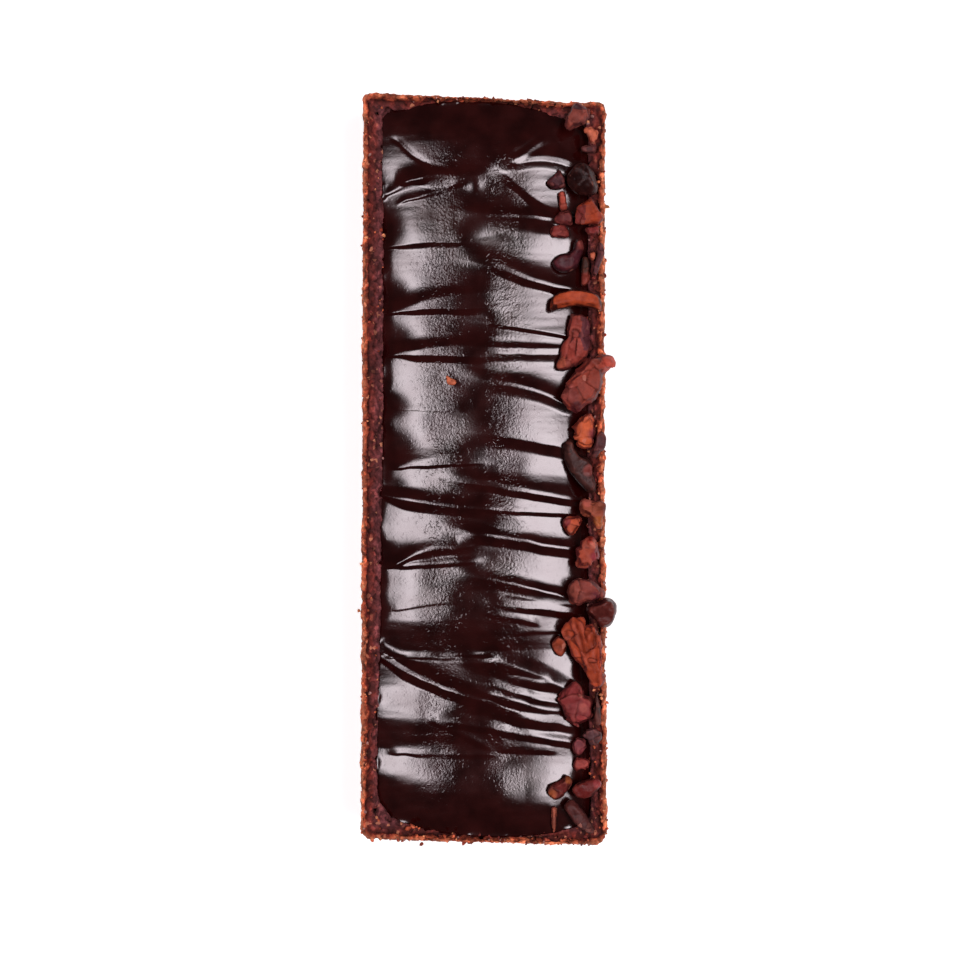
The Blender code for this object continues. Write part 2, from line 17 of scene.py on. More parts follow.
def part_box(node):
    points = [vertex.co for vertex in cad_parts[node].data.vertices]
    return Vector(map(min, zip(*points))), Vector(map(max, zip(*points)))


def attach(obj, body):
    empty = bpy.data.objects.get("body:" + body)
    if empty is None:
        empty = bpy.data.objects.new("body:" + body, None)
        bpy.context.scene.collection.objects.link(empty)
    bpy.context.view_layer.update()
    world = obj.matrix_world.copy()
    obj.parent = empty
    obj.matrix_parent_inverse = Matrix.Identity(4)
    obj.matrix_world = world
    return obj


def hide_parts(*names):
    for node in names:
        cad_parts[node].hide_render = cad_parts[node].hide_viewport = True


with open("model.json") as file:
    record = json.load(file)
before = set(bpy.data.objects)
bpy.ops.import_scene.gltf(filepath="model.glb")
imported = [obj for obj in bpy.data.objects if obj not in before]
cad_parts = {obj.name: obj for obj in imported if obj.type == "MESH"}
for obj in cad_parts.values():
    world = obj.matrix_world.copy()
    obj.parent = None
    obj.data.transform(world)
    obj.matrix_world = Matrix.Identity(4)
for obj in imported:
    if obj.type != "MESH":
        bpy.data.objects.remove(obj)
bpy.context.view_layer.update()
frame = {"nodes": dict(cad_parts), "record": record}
MM = 0.001


# ------------------------------------------------------------------------- pastry case
# Cocoa short pastry: flour, butter, sugar and cocoa, rolled thin, lined into a bottomless ring
# and baked blind. Its outer edge browns and crumbles, and the inside of the rim stays darker,
# where the filling has stained it.

CASE_GRAIN = 0.40            # longest edge of the mesh on the rim
SIDE_GRAIN = 1.10            # and on the outer faces further down
HIDDEN_GRAIN = 5.0           # and where the filling or the table hides the pastry
RIM_ZONE = 4.0               # how far down from the rim the fine mesh reaches
CRUMB_SIZES = ((1.50, 0.21), (0.68, 0.17))   # crumbs of the dough: size, height
RIM_GLOW = (1.0, 3.4)        # the outside darkens between these heights below the rim
LUMP_BEND = (1.2, 0.45)      # they are uneven: bent over this length, by this much
CASE_WARP = (2.4, 0.30)      # slow unevenness: its size and its depth
PIT_SIZE = 1.1               # open pores
PIT_DEPTH = 0.55
SEAM_DEPTH = 1.25            # a broken seam runs along the rim this far in from the outer face
SEAM_WIDTH = 0.30
SEAM_CUT = 0.45
LIGHT_LEVEL = 1.0           # a white surface under the softboxes gives this much light


def smooth_step(value):
    value = min(1.0, max(0.0, value))
    return value * value * (3.0 - 2.0 * value)


def cad_copy(name):
    """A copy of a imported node's mesh in millimetres, with its loose triangles joined."""
    bm = bmesh.new()
    bm.from_mesh(frame["nodes"][name].data)
    bmesh.ops.remove_doubles(bm, verts=bm.verts, dist=2e-6)
    bmesh.ops.scale(bm, vec=(1.0 / MM,) * 3, verts=bm.verts)
    bm.normal_update()
    return bm


def refine(bm, longest):
    """Halve each edge that is longer than wanted where it lies, until none is left."""
    for _ in range(9):
        found = []
        for edge in bm.edges:
            middle = (edge.verts[0].co + edge.verts[1].co) / 2.0
            if edge.calc_length() > longest(middle):
                found.append(edge)
        if not found:
            break
        bmesh.ops.subdivide_edges(bm, edges=found, cuts=1)
        bmesh.ops.triangulate(bm, faces=[face for face in bm.faces if len(face.verts) > 3])
    bm.normal_update()


def make_piece(name, bm, material, slot, *nodes):
    """Write a bmesh in millimetres to an object of the tart that stands for the CAD nodes."""
    bmesh.ops.scale(bm, vec=(MM,) * 3, verts=bm.verts)
    mesh = bpy.data.meshes.new(name)
    bm.to_mesh(mesh)
    bm.free()
    mesh.materials.append(material)
    mesh.shade_smooth()
    piece = bpy.data.objects.new(name, mesh)
    bpy.context.scene.collection.objects.link(piece)
    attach(piece, "root")
    if nodes:
        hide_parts(*nodes)
    return piece


def tone(red, green, blue):
    """Base colour that shows as this display colour under the softboxes."""
    linear = []
    for value in (red, green, blue):
        share = value / 255.0
        share = share / 12.92 if share <= 0.04045 else ((share + 0.055) / 1.055) ** 2.4
        linear.append(share / LIGHT_LEVEL)
    return (*linear, 1.0)


def new_material(name):
    material = bpy.data.materials.new(name)
    material.use_nodes = True
    return material, material.node_tree, material.node_tree.nodes["Principled BSDF"]


def add_node(tree, kind, values=None, **settings):
    """A new node with its properties and its unlinked inputs, or with inputs linked to sockets."""
    node = tree.nodes.new(kind)
    for key, value in settings.items():
        setattr(node, key, value)
    for key, value in (values or {}).items():
        if isinstance(value, bpy.types.NodeSocket):
            tree.links.new(value, node.inputs[key])
        else:
            node.inputs[key].default_value = value
    return node


def add_ramp(tree, factor, stops, interpolation="LINEAR"):
    """A colour ramp through the given (place, colour) stops."""
    ramp = add_node(tree, "ShaderNodeValToRGB", {"Fac": factor})
    ramp.color_ramp.interpolation = interpolation
    elements = ramp.color_ramp.elements
    while len(elements) < len(stops):
        elements.new(0.5)
    for element, (place, colour) in zip(elements, stops):
        element.position = place
        element.color = colour if hasattr(colour, "__len__") else (colour, colour, colour, 1.0)
    return ramp.outputs["Color"]


def add_mix(tree, factor, first, second, blend="MIX"):
    mix = add_node(tree, "ShaderNodeMix", data_type="RGBA", blend_type=blend)
    for socket, value in ((mix.inputs[0], factor), (mix.inputs[6], first), (mix.inputs[7], second)):
        if isinstance(value, bpy.types.NodeSocket):
            tree.links.new(value, socket)
        else:
            socket.default_value = value
    return mix.outputs[2]


def pastry_material():
    material, tree, shader = new_material("browned_cocoa_pastry")
    place = add_node(tree, "ShaderNodeTexCoord").outputs["Object"]
    depth = add_node(tree, "ShaderNodeAttribute", attribute_name="depth").outputs["Fac"]
    pit_shade = add_node(tree, "ShaderNodeAttribute", attribute_name="pit_shade").outputs["Fac"]
    crest = add_node(tree, "ShaderNodeAttribute", attribute_name="crest").outputs["Fac"]
    mottle = add_node(tree, "ShaderNodeTexNoise",
                      {"Vector": place, "Scale": 620.0, "Detail": 5.0, "Roughness": 0.65}).outputs["Fac"]
    patch = add_node(tree, "ShaderNodeTexNoise",
                     {"Vector": place, "Scale": 160.0, "Detail": 2.0}).outputs["Fac"]
    grain = add_node(tree, "ShaderNodeTexVoronoi", {"Vector": place, "Scale": 1900.0})
    crumb = add_node(tree, "ShaderNodeTexVoronoi", {"Vector": place, "Scale": 950.0})
    # depth into the wall, made uneven, decides how browned the dough is
    shifted = add_node(tree, "ShaderNodeMath", {0: mottle, 1: 2.6, 2: -1.3}, operation="MULTIPLY_ADD")
    uneven = add_node(tree, "ShaderNodeMath", {0: depth, 1: shifted.outputs[0]}, operation="ADD")
    across = add_node(tree, "ShaderNodeMapRange",
                      {"Value": uneven.outputs[0], "From Min": -0.4, "From Max": 3.0})
    browned = add_ramp(tree, across.outputs["Result"], (
        (0.10, tone(230, 140, 98)), (0.28, tone(204, 98, 64)), (0.42, tone(116, 38, 30)),
        (0.58, tone(134, 58, 50)), (0.85, tone(126, 68, 70))))
    grain_tone = add_ramp(tree, grain.outputs["Color"], ((0.15, 0.45), (0.5, 0.95), (0.85, 1.55)))
    colour = add_mix(tree, 0.85, browned, grain_tone, "MULTIPLY")
    crumb_tone = add_ramp(tree, crumb.outputs["Color"], ((0.2, 0.60), (0.6, 1.0), (0.9, 1.55)))
    colour = add_mix(tree, 0.8, colour, crumb_tone, "MULTIPLY")
    # painted light and shade on the crumbs: their tops lighter, the gaps between them darker
    crumb_light_and_shade = add_ramp(tree, crest, ((0.15, (0.50, 0.42, 0.42, 1.0)), (0.45, 1.0), (0.8, (1.45, 1.5, 1.5, 1.0))))
    colour = add_mix(tree, 0.85, colour, crumb_light_and_shade, "MULTIPLY")
    patch_tone = add_ramp(tree, patch, ((0.35, (0.80, 0.76, 0.76, 1.0)), (0.65, (1.18, 1.16, 1.12, 1.0))))
    colour = add_mix(tree, 1.0, colour, patch_tone, "MULTIPLY")
    # below the rim the outside browned evenly against the ring
    rim = add_node(tree, "ShaderNodeAttribute", attribute_name="rim").outputs["Fac"]
    side = add_mix(tree, 0.55, colour, tone(150, 78, 58))
    side = add_mix(tree, 1.0, side, (0.52, 0.46, 0.46, 1.0), "MULTIPLY")
    colour = add_mix(tree, rim, side, colour)
    # painted shade darkens the pits and the seam's groove, and here and there a light grain of sugar also stands for a
    # painted glint
    colour = add_mix(tree, pit_shade, colour, tone(52, 16, 12))
    # light sugar grains, partly painted glints
    sugar_glint = add_ramp(tree, grain.outputs["Color"], ((0.84, 0.0), (0.93, 0.65)))
    sugar_glint = add_mix(tree, 0.75, sugar_glint, rim, "MULTIPLY")
    colour = add_mix(tree, sugar_glint, colour, tone(226, 150, 112))
    tree.links.new(colour, shader.inputs["Base Color"])
    height = add_node(tree, "ShaderNodeMath", {0: grain.outputs["Distance"], 1: -0.5, 2: mottle},
                      operation="MULTIPLY_ADD")
    bump = add_node(tree, "ShaderNodeBump",
                    {"Height": height.outputs[0], "Strength": 0.9, "Distance": 0.00025})
    tree.links.new(bump.outputs["Normal"], shader.inputs["Normal"])
    rough = add_node(tree, "ShaderNodeMapRange", {"Value": mottle, "To Min": 0.68, "To Max": 0.95})
    tree.links.new(rough.outputs["Result"], shader.inputs["Roughness"])
    shader.inputs["Specular IOR Level"].default_value = 0.3
    return material


case_low, case_high = (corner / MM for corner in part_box("crust"))
case = cad_copy("crust")

# the outer faces of the walls, to measure how deep into a wall a place lies
outer_faces = []
for face in case.faces:
    middle = face.calc_center_median()
    sideways = face.normal.x * middle.x > 0.0 and abs(face.normal.x) > 0.5
    endways = face.normal.y * middle.y > 0.0 and abs(face.normal.y) > 0.5
    if (sideways or endways) and abs(face.normal.z) < 0.4:
        outer_faces.append([vert.index for vert in face.verts])
outer_skin = BVHTree.FromPolygons([vert.co.copy() for vert in case.verts], outer_faces)


def case_mesh_size(place):
    """Longest edge wanted at a place of the case."""
    inside = abs(place.x) < 0.86 * case_high.x and abs(place.y) < 0.90 * case_high.y
    if place.z < 0.2 or (inside and place.z < case_high.z - RIM_ZONE):
        return HIDDEN_GRAIN
    return CASE_GRAIN if place.z > case_high.z - RIM_ZONE else SIDE_GRAIN


def lump(place, size, seed):
    """Rounded crumbs packed side by side: 1 in the middle of each, falling to 0 between them."""
    bent = place + LUMP_BEND[1] * noise.noise_vector(place / LUMP_BEND[0])
    distances, _ = noise.voronoi(Vector((bent.x / size, bent.y / size, bent.z / size + seed)))
    return 1.0 - min(1.0, 1.4 * distances[0])


refine(case, case_mesh_size)
depth_layer = case.verts.layers.float.new("depth")
pit_shade_layer = case.verts.layers.float.new("pit_shade")
crest_layer = case.verts.layers.float.new("crest")
rim_layer = case.verts.layers.float.new("rim")
rim_places = []
for vert in case.verts:
    place = vert.co.copy()
    nearest = outer_skin.find_nearest(place)[0]
    depth = (nearest - place).xy.length
    near_rim = smooth_step((place.z - (case_high.z - RIM_ZONE)) / RIM_ZONE * 1.6)
    shown = smooth_step((place.z - 0.3) / 1.2)
    if case_mesh_size(place) == HIDDEN_GRAIN:
        shown = 0.0
    rough = shown * (0.45 + 0.55 * near_rim)
    shift = CASE_WARP[1] * noise.noise(place / CASE_WARP[0]) * rough
    crest = 0.0
    for number, (size, height) in enumerate(CRUMB_SIZES):
        rise = lump(place, size, 7.0 * number)
        shift += height * (rise - 0.4) * rough
        crest += rise / len(CRUMB_SIZES)
    opening = noise.noise(place / PIT_SIZE + Vector((0.0, 0.0, 31.0)))
    pit = smooth_step((opening - 0.22) / 0.30) * rough
    seam_place = SEAM_DEPTH + 0.7 * noise.noise(Vector((place.x * 0.4, place.y * 0.4, 11.0)))
    seam = math.exp(-((depth - seam_place) / SEAM_WIDTH) ** 2) * near_rim
    seam *= smooth_step(0.70 + 1.5 * noise.noise(Vector((place.x * 0.8, place.y * 0.8, 17.0))))
    shift -= PIT_DEPTH * pit + SEAM_CUT * seam
    vert[depth_layer] = depth
    # painted shade in the pits and along the seam's groove
    vert[pit_shade_layer] = min(0.9, 0.75 * pit + 0.8 * seam)
    # the crumbs' rise, which the pastry's colour turns into painted light and shade
    vert[crest_layer] = crest
    below = case_high.z - place.z
    vert[rim_layer] = max(smooth_step((RIM_GLOW[1] - below) / (RIM_GLOW[1] - RIM_GLOW[0])),
                          smooth_step((depth - 0.8) / 0.6))
    vert.co = place + vert.normal * shift
    if rough > 0.5 and place.z > case_high.z - 3.5:
        rim_places.append((vert.co.copy(), vert.normal.copy()))

pastry = pastry_material()
make_piece("pastry_case", case, pastry, "crust", "crust")


# ------------------------------------------------------------------------- ganache filling
# Dark chocolate and cream, poured warm into the case and spread crosswise with a palette knife
# while it set: a long low dome, with a lip where each stroke ended and the knife lifted.

FILL_CROWN = case_high.z - 0.75    # height along the middle
FILL_DOME = 1.8              # how much lower it lies at the long walls
FILL_STEPS = (112, 760)      # quads across and along
WALL_BITE = 0.35             # how far the filling reaches into the crumbly wall
# it falls towards each short wall: the side, where the fall starts, how that line leans across
END_FALLS = ((1.0, 52.6, -0.06), (-1.0, 51.5, 0.20))
END_SLOPE = 0.16
END_ROUND = 1.6
CREST_WAVER = (2.6, 0.16)    # a crest wanders: over this length, by this much
MELT_LENGTH = 9.0            # past its inner end a lip widens e-fold over this length
MELT_RUN = 24.0              # and is gone after this many times its height
WIDEST_LIP = 6.0             # no flank grows wider than this
WALL_FADE = 2.0              # towards a side wall a lip dies out over this length past its end
SIDE_END = 10.5              # but one that ends further right than this runs on under the nibs
TAPER_LENGTH = 5.0           # and its steep face narrows over this length before it
CREASE_KNEE = 0.25           # how rounded the foot of a steep face is
ROLL_OFF = 0.065             # the surface rolls off steeply towards the long walls
RIGHT_ROLL = 13.4            # where that begins on the right
ROLL_WANDER = (3.5, 0.9)     # it wanders over this length, by this much
# and on the left: place along the tart, and where it begins there
LEFT_ROLL = ((60.0, -16.6), (43.0, -16.4), (40.0, -14.6), (0.0, -14.4), (-4.0, -15.8), (-12.0, -15.6),
             (-16.0, -15.0), (-25.0, -15.4), (-30.0, -17.6), (-60.0, -17.6))
SWELL = (5.0, 0.05)          # slow unevenness of the surface
STREAK = (5.0, 0.9, 0.012)   # faint streaks along the strokes: their length, width and height
GRAINY = ((-6.4, 2.8), (3.0, 2.8))   # stretches across that the blade left grainy: middle, half width
CALM_ENDS = (47.0, 54.0)     # towards the short walls the grain dies out between these
MENISCUS = (0.28, 0.16)      # the filling creeps up what it touches: over this width, this high

# One stroke's lip, from its start to its end with a bow. Left of that direction it stays at its
# height over the lip's width and then falls away softly; right of it, it drops steeply over its
# reach. The pairs are for the start and the end. A negative height makes a crease.
Stroke = namedtuple("Stroke", "start end bow height lip soft steep")
STROKES = (
    # left half
    Stroke((-13.6, 52.4), (-6.8, 48.3), -0.8, -0.10, (0.0, 0.0), (0.6, 0.6), 0.6),
    Stroke((-12.4, 45.9), (-4.4, 46.7), 0.45, 0.40, (0.25, 0.35), (1.5, 1.3), 2.0),
    Stroke((-16.8, 43.2), (-10.5, 46.1), 0.35, 0.13, (0.25, 0.25), (0.9, 0.9), 0.8),
    Stroke((-12.4, 43.0), (-4.8, 45.4), -0.2, 0.12, (0.15, 0.15), (0.8, 0.8), 0.6),
    Stroke((-15.6, 35.4), (-4.4, 36.3), 0.5, 0.28, (0.5, 1.0), (9.0, 3.5), 1.1),
    Stroke((-14.6, 25.0), (-4.6, 25.6), 0.35, 0.45, (0.2, 2.2), (2.2, 1.4), 1.0),
    Stroke((-14.8, 18.3), (-3.6, 18.1), 0.15, 0.45, (0.3, 1.7), (1.3, 1.6), 1.3),
    Stroke((-13.4, 9.6), (-4.0, 9.4), 0.0, 0.06, (0.3, 0.3), (1.2, 1.2), 0.4),
    Stroke((-13.6, 0.2), (-4.0, 0.9), 0.1, 0.28, (0.4, 1.6), (1.8, 1.8), 0.45),
    Stroke((-17.0, -4.0), (-1.8, -6.2), -0.3, 0.50, (0.3, 0.3), (1.5, 1.5), 1.7),
    Stroke((-13.8, -15.2), (-4.4, -12.7), 0.9, 0.40, (0.35, 0.35), (1.4, 1.4), 1.3),
    Stroke((-16.8, -15.7), (-3.4, -14.8), 0.0, 0.20, (0.35, 0.3), (0.8, 0.8), 0.6),
    Stroke((-13.8, -22.5), (-5.5, -21.3), 0.2, 0.06, (0.3, 0.3), (1.0, 1.0), 0.4),
    Stroke((0.8, -29.0), (-17.4, -29.6), -0.5, -0.86, (0.2, 0.5), (3.0, 4.0), 6.4),
    Stroke((-14.0, -30.1), (0.0, -30.2), 0.1, 0.16, (0.1, 0.1), (0.5, 0.5), 0.7),
    Stroke((-17.2, -29.9), (0.4, -36.8), -0.85, 0.55, (1.2, 0.3), (0.9, 1.1), 1.6),
    Stroke((-7.0, -41.0), (-1.6, -43.4), 0.0, 0.16, (0.3, 0.3), (1.0, 1.0), 0.6),
    Stroke((3.0, -45.4), (-18.0, -44.7), 0.15, -0.62, (0.5, 0.8), (4.0, 4.0), 5.2),
    Stroke((-13.8, -45.5), (1.0, -45.6), 0.0, 0.14, (0.2, 0.2), (0.8, 0.8), 0.9),
    # right half
    Stroke((5.0, 51.3), (7.8, 53.2), 0.0, 0.10, (0.6, 0.6), (1.1, 1.1), 0.8),
    Stroke((5.8, 50.1), (9.2, 52.4), 0.1, 0.16, (0.5, 0.4), (1.1, 1.1), 1.0),
    Stroke((5.4, 48.9), (14.8, 48.0), 0.9, 0.34, (0.6, 1.0), (1.4, 1.4), 1.4),
    Stroke((11.6, 40.0), (5.6, 43.9), -0.5, 0.34, (0.4, 0.4), (3.5, 3.5), 1.7),
    Stroke((3.4, 40.4), (12.0, 39.8), 0.0, 0.50, (0.3, 0.5), (1.0, 1.0), 2.5),
    Stroke((2.6, 32.0), (14.6, 28.8), -0.5, 0.45, (0.8, 0.25), (1.9, 1.7), 1.3),
    Stroke((2.8, 23.1), (13.6, 21.4), 0.1, 0.30, (0.4, 0.5), (5.0, 5.0), 0.7),
    Stroke((1.8, 21.3), (13.0, 20.8), 0.1, 0.09, (0.4, 0.4), (1.2, 1.2), 0.9),
    Stroke((2.5, 18.6), (11.0, 18.4), 0.0, 0.30, (0.9, 0.9), (1.0, 1.0), 1.4),
    Stroke((3.0, 13.5), (12.8, 10.6), 0.5, 0.42, (0.5, 0.35), (1.3, 1.5), 1.8),
    Stroke((3.4, 5.2), (13.2, 3.4), 0.1, 0.50, (0.4, 0.4), (6.0, 6.0), 2.1),
    Stroke((0.8, -2.6), (15.0, -4.9), -0.1, 0.50, (0.7, 0.35), (1.4, 2.2), 1.2),
    Stroke((1.4, -6.4), (15.0, -7.1), -0.1, 0.20, (0.3, 0.4), (2.4, 3.4), 0.6),
    Stroke((-0.6, -10.5), (14.4, -13.0), 0.1, 0.42, (0.35, 0.35), (1.1, 1.0), 1.5),
    Stroke((2.2, -17.9), (11.4, -20.0), 0.1, 0.42, (0.25, 0.25), (1.1, 0.9), 1.6),
    Stroke((4.0, -21.8), (13.0, -22.8), 0.0, 0.28, (1.0, 1.2), (1.0, 1.0), 1.0),
    Stroke((2.6, -23.4), (7.4, -24.4), 0.0, 0.16, (0.5, 0.5), (1.0, 1.0), 0.6),
    Stroke((5.5, -26.3), (13.5, -26.0), 0.2, 0.05, (0.3, 0.3), (1.0, 1.0), 0.35),
    Stroke((14.6, -35.8), (3.8, -30.9), 0.35, -0.34, (0.5, 0.5), (2.0, 2.0), 2.4),
    Stroke((4.4, -32.7), (9.0, -33.6), 0.0, 0.14, (0.2, 0.2), (0.8, 0.8), 0.9),
    Stroke((8.4, -35.2), (13.0, -35.9), 0.0, 0.12, (0.2, 0.2), (0.8, 0.8), 0.7),
    Stroke((3.2, -34.9), (12.6, -37.4), -0.3, 0.40, (1.2, 1.0), (1.4, 1.4), 1.4),
    Stroke((-0.4, -37.9), (11.6, -40.6), -0.4, 0.35, (0.9, 1.3), (1.0, 1.0), 1.5),
    Stroke((-1.8, -41.0), (14.6, -43.9), -0.1, 0.32, (0.3, 0.3), (0.9, 1.0), 0.8),
    Stroke((4.0, -44.7), (10.0, -45.0), 0.0, 0.12, (0.5, 0.5), (1.0, 1.0), 0.7),
)

# low rises and hollows: middle, reach across and along, height
Dab = namedtuple("Dab", "x y reach_x reach_y height")
DABS = (
    Dab(-1.3, 45.4, 1.3, 1.4, 0.16),
    Dab(-17.5, 39.0, 3.0, 3.0, -0.35),
    Dab(-17.5, 27.8, 4.2, 2.2, -0.55),
    Dab(-17.5, 21.0, 4.6, 2.2, -0.55),
    Dab(-17.5, 10.5, 4.2, 2.0, -0.50),
    Dab(-17.5, 3.8, 5.0, 2.6, -0.65),
    Dab(-17.5, -2.6, 4.6, 1.6, -0.5),
    Dab(-17.5, -13.4, 4.0, 1.6, -0.4),
    Dab(-18.5, 49.5, 5.0, 3.0, 0.20),
    Dab(-18.5, -37.0, 5.0, 3.5, 0.30),
    Dab(-18.5, -47.5, 5.0, 3.0, 0.30),
    Dab(10.0, -52.5, 6.0, 4.5, 0.14),
)


def stroke_lift(stroke, x, y):
    """How much one stroke's lip raises the filling at a place."""
    (start_x, start_y), (end_x, end_y) = stroke.start, stroke.end
    if abs(y - (start_y + end_y) / 2.0) > 20.0:
        return 0.0
    share = (x - start_x) / (end_x - start_x)
    on_line = min(1.0, max(0.0, share))
    crest = start_y + (end_y - start_y) * share + 4.0 * stroke.bow * on_line * (1.0 - on_line)
    crest += CREST_WAVER[1] * noise.noise(Vector((x / CREST_WAVER[0], start_y, 2.0)))
    away = y - crest if end_x > start_x else crest - y
    inner_x, outer_x = sorted((start_x, end_x), key=abs)
    side = math.copysign(1.0, outer_x)
    past_inner = max(0.0, side * (inner_x - x))
    ends = smooth_step(1.0 - past_inner / (MELT_RUN * abs(stroke.height)))
    melt = math.exp(past_inner / MELT_LENGTH)
    steep = min(WIDEST_LIP, stroke.steep * melt)
    if outer_x < SIDE_END:
        ends *= smooth_step(1.0 - max(0.0, side * (x - outer_x)) / WALL_FADE)
    if side < 0.0 < stroke.height:
        steep *= 0.25 + 0.75 * smooth_step((x - outer_x) / TAPER_LENGTH)
    if away > 0.0:
        lip = stroke.lip[0] + (stroke.lip[1] - stroke.lip[0]) * on_line
        soft = stroke.soft[0] + (stroke.soft[1] - stroke.soft[0]) * on_line
        soft = min(WIDEST_LIP, soft * melt)
        return stroke.height * ends * math.exp(-(max(0.0, away - lip) / soft) ** 1.5)
    left = max(0.0, 1.0 + away / steep)
    return stroke.height * ends * (1.0 + CREASE_KNEE) * left * left / (left + CREASE_KNEE)


def left_roll(y):
    """Where the roll-off towards the left wall begins."""
    for (near, near_x), (far, far_x) in zip(LEFT_ROLL, LEFT_ROLL[1:]):
        if y >= far:
            return far_x + (near_x - far_x) * min(1.0, (y - far) / (near - far))
    return LEFT_ROLL[-1][1]


def fill_height(x, y):
    """Height of the filling's top: the dome, the falls at the ends, the strokes and the swell."""
    height = FILL_CROWN - FILL_DOME * (2.0 * x / (case_high.x - case_low.x - 6.0)) ** 2
    for side, start, lean in END_FALLS:
        past = side * y - start - lean * x
        height -= END_SLOPE * (past + math.hypot(past, END_ROUND)) / 2.0
    wander = ROLL_WANDER[1] * noise.noise(Vector((math.copysign(3.0, x), y / ROLL_WANDER[0], 8.0)))
    height -= ROLL_OFF * max(0.0, x - RIGHT_ROLL - wander, left_roll(y) + wander - x) ** 2
    height += sum(stroke_lift(stroke, x, y) for stroke in STROKES)
    for dab in DABS:
        height += dab.height * math.exp(-((x - dab.x) / dab.reach_x) ** 2 - ((y - dab.y) / dab.reach_y) ** 2)
    height += SWELL[1] * noise.noise(Vector((x / SWELL[0], y / SWELL[0], 4.0)))
    return height + STREAK[2] * noise.noise(Vector((x / STREAK[0], y / STREAK[1], 21.0)))


def ganache_material():
    material, tree, shader = new_material("dark_ganache")
    place = add_node(tree, "ShaderNodeTexCoord").outputs["Object"]
    stipple = add_node(tree, "ShaderNodeAttribute", attribute_name="stipple").outputs["Fac"]
    cloud = add_node(tree, "ShaderNodeTexNoise", {"Vector": place, "Scale": 260.0, "Detail": 3.0})
    colour = add_ramp(tree, cloud.outputs["Fac"], ((0.35, tone(28, 1, 1)), (0.65, tone(44, 7, 6))))
    tree.links.new(colour, shader.inputs["Base Color"])
    # the grain is drawn out along the tart
    drawn = add_node(tree, "ShaderNodeMapping", {"Vector": place, "Scale": (1.0, 0.9, 1.0)})
    fine = add_node(tree, "ShaderNodeTexNoise",
                    {"Vector": drawn.outputs["Vector"], "Scale": 2700.0, "Detail": 2.5, "Roughness": 0.6})
    speck = add_node(tree, "ShaderNodeTexNoise", {"Vector": place, "Scale": 1500.0, "Detail": 1.0})
    speck = add_ramp(tree, speck.outputs["Fac"], ((0.61, 0.0), (0.67, 1.0)))
    fine = add_node(tree, "ShaderNodeMath", {0: speck, 1: 0.5, 2: fine.outputs["Fac"]}, operation="MULTIPLY_ADD")
    film = add_node(tree, "ShaderNodeMapRange",
                    {"Value": cloud.outputs["Fac"], "From Min": 0.3, "From Max": 0.7,
                     "To Min": 0.10, "To Max": 0.15})
    tree.links.new(film.outputs["Result"], shader.inputs["Roughness"])
    bump = add_node(tree, "ShaderNodeBump", {"Height": fine.outputs[0], "Distance": 0.000048,
                                             "Strength": stipple})
    tree.links.new(bump.outputs["Normal"], shader.inputs["Normal"])
    shader.inputs["IOR"].default_value = 1.5
    return material


# the case's inner faces and the nibs, for the meniscus
case_copy = cad_copy("crust")
inner_faces = []
for face in case_copy.faces:
    middle = face.calc_center_median()
    inward = face.normal.x * middle.x + face.normal.y * middle.y < 0.0
    if inward and abs(face.normal.z) < 0.95 and middle.z > case_high.z - 5.0:
        inner_faces.append([vert.index for vert in face.verts])
inner_skin = BVHTree.FromPolygons([vert.co.copy() for vert in case_copy.verts], inner_faces)
case_copy.free()
nib_names = sorted(name for name in frame["nodes"] if name.startswith("nib_"))
nib_points = []
nib_faces = []
for name in nib_names:
    nib_copy = cad_copy(name)
    start = len(nib_points)
    nib_points += [vert.co.copy() for vert in nib_copy.verts]
    nib_faces += [[start + vert.index for vert in face.verts] for face in nib_copy.faces]
    nib_copy.free()
nib_skin = BVHTree.FromPolygons(nib_points, nib_faces)


def wall_at(x, y, toward):
    """Where the inner face of the case lies, looking from a place inside towards one side."""
    start = Vector((x, y, case_high.z - 3.0))
    return inner_skin.ray_cast(start, Vector(toward))[0]


ganache = bmesh.new()
bmesh.ops.create_grid(ganache, x_segments=FILL_STEPS[0], y_segments=FILL_STEPS[1], size=1.0)
side_reach = {}
end_reach = {}
near_end = case_high.y - 8.0
near_side = case_high.x - 5.0
for vert in ganache.verts:
    across = round(vert.co.x, 6)
    along = round(vert.co.y, 6)
    if along not in side_reach:
        y = max(-near_end, min(near_end, along * case_high.y))
        side_reach[along] = (wall_at(0.0, y, (-1, 0, 0)).x, wall_at(0.0, y, (1, 0, 0)).x)
    left, right = side_reach[along]
    x = left - WALL_BITE + (right - left + 2.0 * WALL_BITE) * (across + 1.0) / 2.0
    if across not in end_reach:
        clear = max(-near_side, min(near_side, x))
        end_reach[across] = (wall_at(clear, 0.0, (0, -1, 0)).y, wall_at(clear, 0.0, (0, 1, 0)).y)
    low, high = end_reach[across]
    y = low - WALL_BITE + (high - low + 2.0 * WALL_BITE) * (along + 1.0) / 2.0
    vert.co = (x, y, fill_height(x, y))

stipple_layer = ganache.verts.layers.float.new("stipple")
for vert in ganache.verts:
    x, y, z = vert.co
    middle, spread = GRAINY[0] if x < 0.0 else GRAINY[1]
    grainy = math.exp(-((x - middle) / spread) ** 2)
    grainy *= smooth_step(0.8 + 1.2 * noise.noise(Vector((x / 2.5, y / 2.0, 9.0))))
    grainy *= 1.0 - smooth_step((abs(y) - CALM_ENDS[0]) / (CALM_ENDS[1] - CALM_ENDS[0]))
    vert[stipple_layer] = 0.12 + 0.88 * grainy
    touching = min(inner_skin.find_nearest(vert.co, 3.0)[3] or 3.0,
                   nib_skin.find_nearest(vert.co, 2.0)[3] or 3.0)
    wetted = smooth_step(2.4 * noise.noise(Vector((x / 3.5, y / 3.5, 13.0))))
    z += MENISCUS[1] * wetted * math.exp(-touching / MENISCUS[0])
    vert.co.z = z

